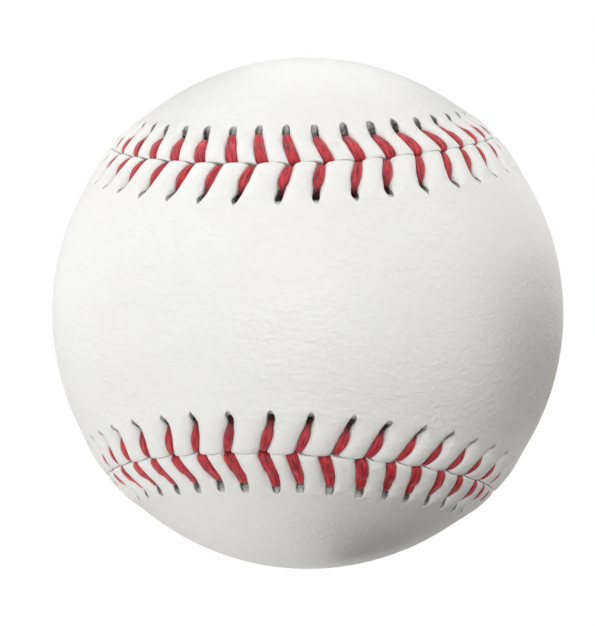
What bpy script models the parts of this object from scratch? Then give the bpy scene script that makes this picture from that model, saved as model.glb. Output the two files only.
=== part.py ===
"""Soft baseball: a sponge pill, three windings, two figure-eight cover panels and a laced seam.

Metres, +Z up. The origin is the ball's centre. The front panel's waist faces -Y and runs along X,
and the back panel's waist faces +Y and runs along Z.
"""

from collections import namedtuple
from math import asin, cos, pi, radians, sin, sqrt, tan

import bmesh
import bpy
import numpy as np
from mathutils import Vector

# Driving dimensions of the cover
BALL_DIAMETER = 0.0738  # over the leather, clear of the seam
WAIST_WIDTH = 0.0317  # seam to seam across a panel's waist, along the leather
LOBE_FULLNESS = 0.475  # how far the panels' round ends swell
LEATHER = 0.0013  # thickness of the cover
LIP_LEATHER = 0.0009  # thickness of the same leather where the lacing presses it
LIP_RISE = 0.0003  # how far the panels' edges stand above the ball
LIP_FADE = 0.0026  # from the row of holes to where the lip meets the ball

# Driving dimensions of the lacing
STITCHES = 108  # holes along each panel's edge
HOLE_OFFSET = 0.0044  # from the seam to the middle of a hole
LACE_DIAMETER = 0.0007
LACE_CLEARANCE = 0.00015  # between the lace and what it passes
STITCH_LEAN = 0.00105  # how far a stitch runs forward from its hole to the seam
STRAND_GAP = 0.0004  # between the two strands that dive into the seam side by side
TAIL_SHARE = 0.6  # part of its last run under the cover that a strand's end fills

# Driving dimensions of the inside
PILL_DIAMETER = 0.035
OUTER_WINDING_WALL = 0.005
FINISHING_WINDING_WALL = 0.0012
LAYER_CLEARANCE = 0.0003  # between one layer and the next
NEEDLE_CHANNEL = 0.0024  # bore through a winding, where a needle draws the yarn's tail in

# How finely the shapes are divided
SEAM_SAMPLES = 4320
LAYER_SIDES = 16
LAYER_RINGS = 9
OUTER_FIELD_ROWS = (1.0, 0.6, 0.25)  # shares of the way from a lip's foot to the spine
INNER_FIELD_ROWS = (0.25, 0.6, 1.0)
FIELD_STEP = 2  # columns of holes for each column inside the lip
SPINE_END = radians(105)  # from a panel's waist to the middle of its round end
SPINE_SPREAD = 1.15  # how soon the panel's columns gather at that middle
SMOOTH_ANGLE = radians(35)
MERGE_DISTANCE = 1e-6

FRONT = -1
BACK = 1

Row = namedtuple("Row", "offset toward_spine radius is_hole")

# Sizes that follow from the driving ones
BALL_RADIUS = BALL_DIAMETER / 2
LACE_RADIUS = LACE_DIAMETER / 2
SEAM_GAP = LACE_DIAMETER + 2 * LACE_CLEARANCE
HOLE_REACH = sqrt(2) * (LACE_RADIUS + LACE_CLEARANCE)
LIP_FOOT = HOLE_OFFSET + LIP_FADE
ROW_STAGGER = LACE_DIAMETER + STRAND_GAP
WAIST_DEPTH = (1 - LOBE_FULLNESS) / tan(WAIST_WIDTH / BALL_DIAMETER)


def seam_direction(angle):
    """Unit vectors from the ball's centre to the seam, for angles round its closed curve."""
    x = np.sin(angle) + LOBE_FULLNESS * np.sin(3 * angle)
    y = -WAIST_DEPTH * np.cos(2 * angle)
    z = np.cos(angle) - LOBE_FULLNESS * np.cos(3 * angle)
    points = np.stack([x, y, z], axis=-1)
    return points / np.linalg.norm(points, axis=-1, keepdims=True)


# The seam's length, so that the stitches can be spaced evenly along it
SEAM_ANGLES = np.linspace(0, 2 * pi, SEAM_SAMPLES + 1)
SEAM_STEPS = np.linalg.norm(np.diff(seam_direction(SEAM_ANGLES), axis=0), axis=1)
SEAM_DISTANCES = BALL_RADIUS * np.concatenate([[0], np.cumsum(SEAM_STEPS)])
SEAM_LENGTH = SEAM_DISTANCES[-1]
STITCH_PITCH = SEAM_LENGTH / STITCHES
STITCH_SAG = (HOLE_OFFSET**2 + STITCH_PITCH**2) / (8 * BALL_RADIUS)


def lip_radius(offset):
    """Radius of the leather's outer face at a distance from the seam, on the rising lip."""
    return BALL_RADIUS + LIP_RISE * (LIP_FOOT - offset) / (LIP_FOOT - SEAM_GAP / 2)


# Radii at which the lace runs over and under the leather, and of the wound core inside
LACE_LIFT = LACE_CLEARANCE + LACE_RADIUS + STITCH_SAG
LACE_OVER_HOLE = lip_radius(HOLE_OFFSET) + LACE_LIFT
LACE_OVER_SEAM = lip_radius(SEAM_GAP / 2) + LACE_LIFT
LACE_UNDER = lip_radius(HOLE_OFFSET) - LIP_LEATHER - LACE_CLEARANCE - LACE_RADIUS
CORE_RADIUS = min(LACE_UNDER - LACE_LIFT, BALL_RADIUS - LEATHER - LAYER_CLEARANCE)


def seam_place(distance, offset, radius):
    """Point at a distance along the seam, an offset across it (+ to the back panel) and a radius."""
    angle = np.interp(distance % SEAM_LENGTH, SEAM_DISTANCES, SEAM_ANGLES)
    step = SEAM_ANGLES[1]
    before = Vector(seam_direction(angle - step))
    here = Vector(seam_direction(angle))
    after = Vector(seam_direction(angle + step))
    across = here.cross((after - before).normalized())
    turn = offset / BALL_RADIUS
    return (here * cos(turn) + across * sin(turn)) * radius


def hole_distance(side, index):
    """Distance along the seam of a hole in one panel's row."""
    stagger = ROW_STAGGER if side == BACK else 0
    return index * STITCH_PITCH + stagger


def clear_scene():
    """Removes whatever objects the open scene holds."""
    for item in list(bpy.data.objects):
        bpy.data.objects.remove(item, do_unlink=True)


def finish(name, colour, roughness):
    """Plain material for one piece."""
    material = bpy.data.materials.new(name)
    material.use_nodes = True
    shader = material.node_tree.nodes["Principled BSDF"]
    shader.inputs["Base Color"].default_value = (*colour, 1)
    shader.inputs["Roughness"].default_value = roughness
    shader.inputs["Metallic"].default_value = 0
    return material


def add_piece(name, data, material, ball):
    """Puts a mesh or curve in the ball's collection, on its centre."""
    piece = bpy.data.objects.new(name, data)
    data.materials.append(material)
    ball["collection"].objects.link(piece)
    piece.parent = ball["centre"]
    return piece


def mesh_from(bm, name):
    """Mesh of a bmesh, shaded smooth apart from its sharp edges."""
    mesh = bpy.data.meshes.new(name)
    bm.to_mesh(mesh)
    bm.free()
    mesh.shade_smooth()
    mesh.set_sharp_from_angle(angle=SMOOTH_ANGLE)
    return mesh


def sponge_pill(ball):
    """The soft round centre that the yarn is wound on."""
    bm = bmesh.new()
    bmesh.ops.create_uvsphere(
        bm, u_segments=LAYER_SIDES, v_segments=LAYER_RINGS, radius=PILL_DIAMETER / 2
    )
    material = finish("sponge_rubber", (0.16, 0.16, 0.17), 0.9)
    add_piece("sponge_pill", mesh_from(bm, "sponge_pill"), material, ball)


def arc(radius, start, end):
    """Points of an arc about the centre in the XZ plane, by their angle above the X axis."""
    turns = np.linspace(start, end, LAYER_RINGS + 1)
    return [(radius * cos(turn), 0, radius * sin(turn)) for turn in turns]


def winding(name, inner_radius, outer_radius, material, ball):
    """A wound layer: a turned shell, open only at the channel of its yarn's tail."""
    inner_mouth = pi / 2 - asin(NEEDLE_CHANNEL / 2 / inner_radius)
    outer_mouth = pi / 2 - asin(NEEDLE_CHANNEL / 2 / outer_radius)
    profile = arc(inner_radius, -pi / 2, inner_mouth) + arc(outer_radius, outer_mouth, -pi / 2)
    edges = [(index, index + 1) for index in range(len(profile) - 1)]
    mesh = bpy.data.meshes.new(name)
    mesh.from_pydata(profile, edges, [])
    shell = add_piece(name, mesh, material, ball)
    screw = shell.modifiers.new("turn", "SCREW")
    screw.steps = LAYER_SIDES
    screw.render_steps = LAYER_SIDES
    screw.use_merge_vertices = True
    screw.merge_threshold = MERGE_DISTANCE
    screw.use_smooth_shade = True


def windings(ball):
    """Three layers, each clear of the next, from the pill out to the lace's bed."""
    finishing_inner = CORE_RADIUS - FINISHING_WINDING_WALL
    outer_outer = finishing_inner - LAYER_CLEARANCE
    outer_inner = outer_outer - OUTER_WINDING_WALL
    inner_outer = outer_inner - LAYER_CLEARANCE
    inner_inner = PILL_DIAMETER / 2 + LAYER_CLEARANCE
    grey_yarn = finish("grey_yarn", (0.33, 0.36, 0.41), 0.95)
    pale_yarn = finish("pale_yarn", (0.72, 0.68, 0.6), 0.95)
    cotton = finish("cotton_thread", (0.86, 0.84, 0.78), 0.9)
    winding("inner_winding", inner_inner, inner_outer, grey_yarn, ball)
    winding("outer_winding", outer_inner, outer_outer, pale_yarn, ball)
    winding("finishing_winding", finishing_inner, CORE_RADIUS, cotton, ball)


def panel_rows():
    """Section of a panel from the spine of its outer face, round its edge, to the inner spine."""
    hole_radius = lip_radius(HOLE_OFFSET)
    edge_radius = lip_radius(SEAM_GAP / 2)
    inner_radius = BALL_RADIUS - LEATHER
    rows = [Row(LIP_FOOT, share, BALL_RADIUS, False) for share in OUTER_FIELD_ROWS]
    rows.append(Row(LIP_FOOT, 0, BALL_RADIUS, False))
    rows.append(Row(HOLE_OFFSET, 0, hole_radius, True))
    rows.append(Row(SEAM_GAP / 2, 0, edge_radius, False))
    rows.append(Row(SEAM_GAP / 2, 0, edge_radius - LIP_LEATHER, False))
    rows.append(Row(HOLE_OFFSET, 0, hole_radius - LIP_LEATHER, True))
    rows += [Row(LIP_FOOT, share, inner_radius, False) for share in INNER_FIELD_ROWS]
    return rows


def spine_direction(side, station):
    """Direction of a point on a panel's middle line, by its count of holes from a round end."""
    share = SPINE_SPREAD * cos(2 * pi * station / STITCHES)
    turn = SPINE_END * max(-1, min(1, share))
    if side == FRONT:
        return Vector((sin(turn), -cos(turn), 0))
    return Vector((0, cos(turn), sin(turn)))


def panel_point(side, index, row):
    """Place of one corner of a panel's mesh, which the two sides of its spine share there."""
    first = round(STITCHES / 4) if side == FRONT else 0
    around = (index - first) % STITCHES
    station = min(around, STITCHES - around)
    if row.toward_spine:
        station -= station % FIELD_STEP
    around = station if around <= STITCHES / 2 else STITCHES - station
    on_lip = seam_place(hole_distance(side, first + around), side * row.offset, 1)
    return on_lip.lerp(spine_direction(side, station), row.toward_spine).normalized() * row.radius


def punch_holes(bm, marks):
    """Opens each marked corner into a hole, and walls it through to the other face."""
    corners = [corner for corner in bm.verts if corner[marks]]
    opened = bmesh.ops.bevel(
        bm, geom=corners, offset=HOLE_REACH, offset_type="OFFSET", segments=1, profile=0.5,
        affect="VERTICES", material=-1,
    )
    mouths = opened["faces"]
    outer = [mouth for mouth in mouths if mouth.calc_center_median().length > BALL_RADIUS]
    inner = [mouth for mouth in mouths if mouth.calc_center_median().length < BALL_RADIUS]
    pairs = []
    for mouth in outer:
        toward = mouth.calc_center_median()
        below = max(inner, key=lambda other: other.calc_center_median().dot(toward))
        pairs.append(list(mouth.edges) + list(below.edges))
    bmesh.ops.delete(bm, geom=mouths, context="FACES_ONLY")
    for rims in pairs:
        bmesh.ops.bridge_loops(bm, edges=rims)


def cover_panel(name, side, material, ball):
    """One figure-eight of leather: a grid wrapped over its edge, closed along its spine."""
    rows = panel_rows()
    bm = bmesh.new()
    bmesh.ops.create_grid(bm, x_segments=STITCHES, y_segments=len(rows) - 1, size=1)
    marks = bm.verts.layers.int.new("hole")
    for corner in bm.verts:
        index = round((corner.co.x + 1) / 2 * STITCHES)
        row = rows[round((corner.co.y + 1) / 2 * (len(rows) - 1))]
        corner.co = panel_point(side, index, row)
        corner[marks] = row.is_hole
    bmesh.ops.remove_doubles(bm, verts=bm.verts, dist=MERGE_DISTANCE)
    punch_holes(bm, marks)
    bmesh.ops.recalc_face_normals(bm, faces=bm.faces)
    add_piece(name, mesh_from(bm, name), material, ball)


def strand_points(first_side):
    """Route of one strand: up a hole, over the lip, down the seam and under the other panel."""
    points = []
    for index in range(STITCHES):
        side = first_side if index % 2 == 0 else -first_side
        hole = hole_distance(side, index)
        dive = hole + STITCH_LEAN
        points.append(seam_place(hole, side * HOLE_OFFSET, LACE_UNDER))
        points.append(seam_place(hole, side * HOLE_OFFSET, LACE_OVER_HOLE))
        points.append(seam_place(dive, 0, LACE_OVER_SEAM))
        points.append(seam_place(dive, 0, LACE_UNDER))
    next_hole = seam_place(hole_distance(-side, STITCHES), -side * HOLE_OFFSET, LACE_UNDER)
    points.append(points[-1].lerp(next_hole, TAIL_SHARE))
    return points


def lace_strand(name, first_side, material, ball):
    """One of the two strands, sewn with a needle each, that pass each other in the seam."""
    points = strand_points(first_side)
    curve = bpy.data.curves.new(name, "CURVE")
    curve.dimensions = "3D"
    curve.bevel_depth = LACE_RADIUS
    curve.bevel_resolution = 0
    curve.use_fill_caps = True
    spline = curve.splines.new("POLY")
    spline.points.add(len(points) - 1)
    for place, point in zip(spline.points, points):
        place.co = (*point, 1)
    add_piece(name, curve, material, ball)


def main():
    """Builds the ball from its centre out."""
    clear_scene()
    collection = bpy.data.collections.new("soft_baseball")
    bpy.context.scene.collection.children.link(collection)
    centre = bpy.data.objects.new("ball_centre", None)
    collection.objects.link(centre)
    ball = {"collection": collection, "centre": centre}
    sponge_pill(ball)
    windings(ball)
    leather = finish("white_leather", (0.87, 0.86, 0.84), 0.42)
    cover_panel("front_panel", FRONT, leather, ball)
    cover_panel("back_panel", BACK, leather, ball)
    red_lace = finish("red_lace", (0.52, 0.035, 0.055), 0.6)
    lace_strand("first_lace", FRONT, red_lace, ball)
    lace_strand("second_lace", BACK, red_lace, ball)


main()
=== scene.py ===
"""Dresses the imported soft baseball: laced leather cover, red thread, wound core and studio.

Metres, +Z up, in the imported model's frame: the origin is the ball's centre, the front panel's
waist faces -Y and runs along X, and the back panel's waist faces +Y and runs along Z.
"""

import logging
import math
from dataclasses import dataclass, field
from enum import Enum

import bmesh
import bpy
import numpy as np
from mathutils import Matrix, Vector

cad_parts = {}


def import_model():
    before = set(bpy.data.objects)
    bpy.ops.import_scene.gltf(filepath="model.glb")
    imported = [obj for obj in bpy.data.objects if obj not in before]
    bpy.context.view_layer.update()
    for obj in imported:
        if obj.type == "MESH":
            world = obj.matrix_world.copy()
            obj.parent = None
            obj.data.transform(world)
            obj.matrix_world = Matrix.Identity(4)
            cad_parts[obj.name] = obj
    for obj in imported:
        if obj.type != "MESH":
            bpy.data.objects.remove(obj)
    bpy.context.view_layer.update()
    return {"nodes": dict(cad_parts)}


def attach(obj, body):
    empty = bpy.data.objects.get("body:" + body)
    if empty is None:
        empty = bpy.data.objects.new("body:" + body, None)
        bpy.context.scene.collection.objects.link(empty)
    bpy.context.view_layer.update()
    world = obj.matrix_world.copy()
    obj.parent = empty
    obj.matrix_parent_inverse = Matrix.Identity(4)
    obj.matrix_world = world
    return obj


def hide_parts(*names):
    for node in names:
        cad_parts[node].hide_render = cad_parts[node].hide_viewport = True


LOG = logging.getLogger("soft_baseball")
BODY = "root"
MERGE_DISTANCE = 1e-7
TENTH_MM = 1e-4
WHITE = (1, 1, 1, 1)

Pair = tuple[float, float]
Triple = tuple[float, float, float]
Colour = Triple
Runs = dict[int, tuple[float, ...]]
Array = np.ndarray
Number = float | np.ndarray
Mesh = bmesh.types.BMesh
Piece = bpy.types.Object
Material = bpy.types.Material
Node = bpy.types.Node
Socket = bpy.types.NodeSocket
Values = dict[str | int, Socket | float | tuple[float, ...]]


class Side(Enum):
    """The two cover panels, by the sign of their offset from the seam."""

    FRONT = -1
    BACK = 1

    @property
    def other(self) -> "Side":
        """The panel across the seam."""
        return Side.BACK if self is Side.FRONT else Side.FRONT


class RowKind(Enum):
    """What part of a panel's section a row of its mesh belongs to."""

    FIELD = "field"
    BAND = "band"
    EDGE = "edge"
    WALL = "wall"
    LINING = "lining"
    LINING_FIELD = "lining_field"


def smooth_step(value: Number) -> Number:
    """Eases a value from 0 to 1, level at both ends."""
    share = np.clip(value, 0, 1)
    return share * share * (3 - 2 * share)


def unit(vectors: Array) -> Array:
    """Scales each vector to length 1."""
    return vectors / np.linalg.norm(vectors, axis=-1, keepdims=True)


def signed_power(value: float, power: float) -> float:
    """Raises a value to a power and keeps its sign."""
    return math.copysign(abs(value) ** power, value)


def sight_line(azimuth: float, elevation: float) -> Vector:
    """Direction from the ball's centre.

    Args:
        azimuth: Degrees from the camera's side, positive to the right.
        elevation: Degrees above the horizon.

    Returns:
        The direction, of length 1.
    """
    turn, rise = math.radians(azimuth), math.radians(elevation)
    level = Vector((math.sin(turn), -math.cos(turn), 0)) * math.cos(rise)
    return level + Vector((0, 0, math.sin(rise)))


def link_piece(name: str, bm: Mesh, sharp_angle: float = math.radians(30)) -> Piece:
    """Turns a bmesh into a smooth-shaded object of the scene.

    Args:
        name: Name of the object and its mesh.
        bm: The finished bmesh, which is freed.
        sharp_angle: Edges bent more than this stay sharp.

    Returns:
        The new object, at the origin.
    """
    mesh = bpy.data.meshes.new(name)
    bm.to_mesh(mesh)
    bm.free()
    mesh.shade_smooth()
    mesh.set_sharp_from_angle(angle=sharp_angle)
    piece = bpy.data.objects.new(name, mesh)
    bpy.context.scene.collection.objects.link(piece)
    return piece


def seat_piece(piece: Piece, material: Material, node: str) -> None:
    """Dresses a piece and puts it in its CAD node's place.

    Args:
        piece: The finished piece.
        material: Its material.
        node: CAD node that it stands for.
    """
    piece.data.materials.append(material)
    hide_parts(node)
    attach(piece, BODY)
    LOG.info("%s: %d faces", piece.name, len(piece.data.polygons))


@dataclass
class Seam:
    """The closed curve that both cover panels share, and places given by it."""

    radius: float = 0.0369  # Radius of the ball over the leather, clear of the seam.
    waist: float = 0.0317  # Seam to seam across a panel's waist, along the leather.
    fullness: float = 0.475  # How far the panels' round ends swell.
    stitches: int = 108  # Holes along each panel's edge.
    samples: int = 4320  # Steps in which the curve's length is measured.
    angles: Array = field(init=False)
    distances: Array = field(init=False)

    def __post_init__(self) -> None:
        """Measures the curve, so that the stitches can be spaced evenly along it."""
        self.angles = np.linspace(0, 2 * math.pi, self.samples + 1)
        steps = np.linalg.norm(np.diff(self.direction(self.angles), axis=0), axis=1)
        self.distances = self.radius * np.concatenate([[0], np.cumsum(steps)])

    @property
    def length(self) -> float:
        """Length of the whole seam."""
        return float(self.distances[-1])

    @property
    def pitch(self) -> float:
        """Distance from one stitch to the next."""
        return self.length / self.stitches

    def direction(self, angle: Array) -> Array:
        """Unit vectors from the ball's centre to the seam.

        Args:
            angle: Angles round the curve.

        Returns:
            The vectors, with one more axis than the angles.
        """
        depth = (1 - self.fullness) / math.tan(self.waist / self.radius / 2)
        x = np.sin(angle) + self.fullness * np.sin(3 * angle)
        y = -depth * np.cos(2 * angle)
        z = np.cos(angle) - self.fullness * np.cos(3 * angle)
        return unit(np.stack([x, y, z], axis=-1))

    def axes(self, distance: Array) -> tuple[Array, Array, Array]:
        """Directions out of the ball, along the seam and across it to the back panel.

        Args:
            distance: Distances along the seam.

        Returns:
            Unit vectors out, along and across, one of each for every distance.
        """
        angle = np.interp(np.mod(distance, self.length), self.distances, self.angles)
        step = self.angles[1]
        out = self.direction(angle)
        along = unit(self.direction(angle + step) - self.direction(angle - step))
        return out, along, np.cross(out, along)

    def place(self, distance: Array, offset: Array, height: Array) -> Array:
        """Points on and near the cover.

        Args:
            distance: Distances along the seam.
            offset: Offsets across it, positive to the back panel.
            height: Heights over the ball's radius.

        Returns:
            The points, with one more axis than the distances.
        """
        out, _, across = self.axes(distance)
        turn = np.asarray(offset / self.radius)[..., None]
        reach = np.asarray(self.radius + height)[..., None]
        return (out * np.cos(turn) + across * np.sin(turn)) * reach


@dataclass
class StitchRow:
    """One panel's row of stitches, each a little off its even place, as hand lacing is."""

    seam: Seam
    side: Side
    phase: float  # Share of a pitch from the seam's start to the row's first hole.
    seed: int  # Start of the row's own random numbers.
    lean: float  # How far a stitch runs forward from its hole to the seam.
    # Measured shifts along the seam of the stitches in view, in tenths of a millimetre, by the
    # number of the first of each run.
    seen_shifts: Runs
    # Measured shares by which some of them leave their holes further out, likewise.
    seen_exits: Runs = field(default_factory=dict)
    lean_bend: float = 1.35  # Above 1, the stitch turns forward mostly near the seam.
    hole_offset: float = 0.0044  # From the seam to where a stitch comes out of its hole.
    wander: float = 0.00015  # Spread of the holes' places along the seam.
    # Spread of the stitches' leans, widths, crests, reaches and exits, as shares.
    spreads: tuple[float, ...] = (0.11, 0.055, 0.055, 0.055 / 3, 0.0825)
    shifts: Array = field(init=False)
    leans: Array = field(init=False)
    widths: Array = field(init=False)
    crests: Array = field(init=False)
    reaches: Array = field(init=False)
    exits: Array = field(init=False)

    def __post_init__(self) -> None:
        """Draws each stitch's own small departures, then sets those that are measured."""
        numbers = np.random.default_rng(self.seed)
        count = self.seam.stitches
        self.shifts = numbers.normal(0, self.wander, count)
        drawn = [1 + numbers.normal(0, spread, count) for spread in self.spreads]
        leans, self.widths, self.crests, self.reaches, self.exits = drawn
        self.leans = self.lean * leans
        for start, shifts in self.seen_shifts.items():
            self.shifts[self.run(start, len(shifts))] = np.array(shifts) * TENTH_MM
        for start, exits in self.seen_exits.items():
            self.exits[self.run(start, len(exits))] = exits

    def run(self, start: int, count: int) -> Array:
        """Numbers of a run of stitches, which may begin before the row's first."""
        return np.mod(np.arange(start, start + count), self.seam.stitches)

    def line(self, index: int | Array, offset: Number) -> Number:
        """Distance along the seam of a stitch's middle line.

        Args:
            index: Which stitch, which may run past the row's ends.
            offset: Distance from the seam into the panel.

        Returns:
            Distances along the seam.
        """
        own = np.mod(index, self.seam.stitches)
        run = 1 - np.clip(offset / self.hole_offset, 0, 1)
        even = (index + self.phase) * self.seam.pitch
        return even + self.shifts[own] + self.leans[own] * run**self.lean_bend


FRONT_SHIFTS: Runs = {
    -5: (-1, 0, 1, 0, -1, 3, 1, 1, -2, 0, 3, 1),
    48: (0, 0, -2, -1, -3, -1, -1, 2, 3, 0, 4, 6, 4),
}
BACK_SHIFTS: Runs = {
    -5: (1, 4, 4, 6, 4, 2, 1, 1, 1, -1, 1, 0),
    48: (0, 2, -1, -2, 0, 0, -7, -3, -7, -8, -8, -7, -3),
}
BACK_EXITS: Runs = {
    -2: (1.55, 1.5, 1.4, 1.2),
    49: (1.4, 1.35, 1.5, 1.5, 1.5, 1.7, 1.5, 1.25, 1.35, 1.35, 1.3, 1.25),
}


@dataclass(frozen=True)
class LipForm:
    """Section of a panel along its laced edge: pillows, and a groove under each stitch."""

    crest: float = 0.00036  # Height of the pillows over the ball.
    crest_offset: float = 0.0022  # From the seam to where the pillows are highest.
    foot: float = 0.0074  # From the seam to where the leather meets the ball.
    groove: float = 0.00068  # Depth of a groove below the pillows beside it, near the seam.
    groove_fall: float = 0.0016  # From the seam to where the groove starts to deepen.
    pinch: float = 0.00105  # Depth of the groove where its hole begins.
    pinch_offset: float = 0.0032  # From the seam to where the groove is that deep.
    groove_end: float = 0.005  # From the seam to where the groove runs out, past its hole.
    groove_shade: float = 0.5  # How dark the painted shade on the groove's floor is.
    roundness: float = 2.3  # Power of the rounded pillow from one groove to the next.
    edge_reach: float = 0.0009  # How far the rounding of the edge reaches into the panel.
    edge_drop: float = 0.0003  # How far that rounding falls between stitches.
    groove_edge_drop: float = 0.00018  # How far it falls under a stitch.
    edge_shade: float = 0.36  # How dark the painted shade at the foot of that rounding is.
    edge_gap: float = 0.00003  # From the seam to the leather's edge between stitches.
    edge_notch: float = 0.0001  # How much further the edge stands off where a stitch dives.
    wall: float = -0.0009  # Height to which the leather's cut edge falls first.
    lining: float = -0.00115  # Height of the leather's inner face along the lacing.
    field_lining: float = -0.0013  # Height of the leather's inner face elsewhere.

    def crest_height(self, offset: Number) -> Number:
        """Height of the leather between stitches."""
        share = (self.foot - offset) / (self.foot - self.crest_offset)
        return self.crest * smooth_step(share)

    def groove_depth(self, offset: Number) -> Number:
        """Depth of the groove under a stitch, below the leather beside it.

        Args:
            offset: Distances from the seam.

        Returns:
            The depths.
        """
        fall = smooth_step((offset - self.groove_fall) / (self.pinch_offset - self.groove_fall))
        rise = smooth_step((self.groove_end - offset) / (self.groove_end - self.pinch_offset))
        return (self.groove + (self.pinch - self.groove) * fall) * rise

    def floor_height(self, offset: Number) -> Number:
        """Height of the groove's floor, clear of the rounded edge."""
        return self.crest_height(offset) - self.groove_depth(offset)

    def pillow(self, share: Array) -> Array:
        """Rise from a groove's wall, at 0, to the middle of a pillow, at 1."""
        power = self.roundness
        return (1 - (1 - np.clip(share, 0, 1)) ** power) ** (1 / power)


@dataclass(frozen=True)
class HoleForm:
    """Slot at the end of a stitch, and the groove that leads from it to the seam."""

    seam_half: float  # Half width of the groove at the seam.
    groove_half: float  # Half width of the groove at its widest.
    slot_half: float  # Half width of the slot at its widest.
    start: float  # From the seam to the slot's near end.
    groove_start: float = 0.0017  # From the seam to where the groove is widest.
    groove_stop: float = 0.0007  # How far before the slot its widest part ends.
    throat: float = 0.0002  # From the slot's near end to its neck.
    neck: float = 0.8  # Width of the slot at its neck, as a share of its widest.
    tip: float = 0.0054  # From the seam to the slot's far end.
    tip_radius: float = 0.0009  # How long the rounding of the far end is.
    tip_blunt: float = 0.985  # How much of that is kept, so that the far end isn't a point.
    # Length of the slot on the leather's inner face, as a share of that on its outer.
    slant: float = 0.5
    # How dark the painted shade on the wall is at the slot's far end, by its rim and half-way in.
    far_shades: Pair = (0.34, 0.5)
    shade_power: float = 0.8  # Power by which its painted shade darkens from there to the stitch.

    def half_width(self, offset: Array) -> Array:
        """Half width of the groove or slot.

        Args:
            offset: Distances from the seam.

        Returns:
            The half widths.
        """
        widest = (self.start + self.tip) / 2
        stop, neck = self.start - self.groove_stop, self.start + self.throat
        offsets = (0.0, self.groove_start, stop, neck, widest)
        at_neck = self.slot_half * self.neck
        halves = (self.seam_half, self.groove_half, self.groove_half, at_neck, self.slot_half)
        past = np.clip((offset - self.tip) / self.tip_radius + 1, 0, self.tip_blunt)
        return np.interp(offset, offsets, halves) * np.sqrt(1 - past**2)

    def rows(self, shares: tuple[float, ...]) -> list[float]:
        """Distances from the seam along the slot, from shares of its length."""
        return [self.start + (self.tip - self.start) * share for share in shares]

    def inner_offset(self, offset: float) -> float:
        """Where a point of the slot's outer rim comes out on the leather's inner face."""
        return self.start + (offset - self.start) * self.slant

    def wall_rings(self) -> tuple[tuple[float, float, float, float], ...]:
        """Rings of the slot's wall, from its rim to the leather's inner face.

        Returns:
            For each ring, shares of the way in and of the way down, and how dark its painted shade
            is at the slot's far end and by the stitch.
        """
        by_rim, half_way = self.far_shades
        return ((0.06, 0.08, by_rim, 0.8), (0.5, 0.4, half_way, 1.0), (1.0, 1.0, 1.0, 1.1))


@dataclass(frozen=True)
class PanelRow:
    """One row of a panel's mesh."""

    kind: RowKind  # Part of the section that the row belongs to.
    offset: float = 0.0  # Distance from the seam into the panel, in the band and lining.
    turn: float = 0.0  # How far the row is round the leather's edge, in radians.
    share: float = 0.0  # Share of the way from the lip's foot to the panel's spine.
    height: float = 0.0  # Height over the ball, in the wall.


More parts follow.
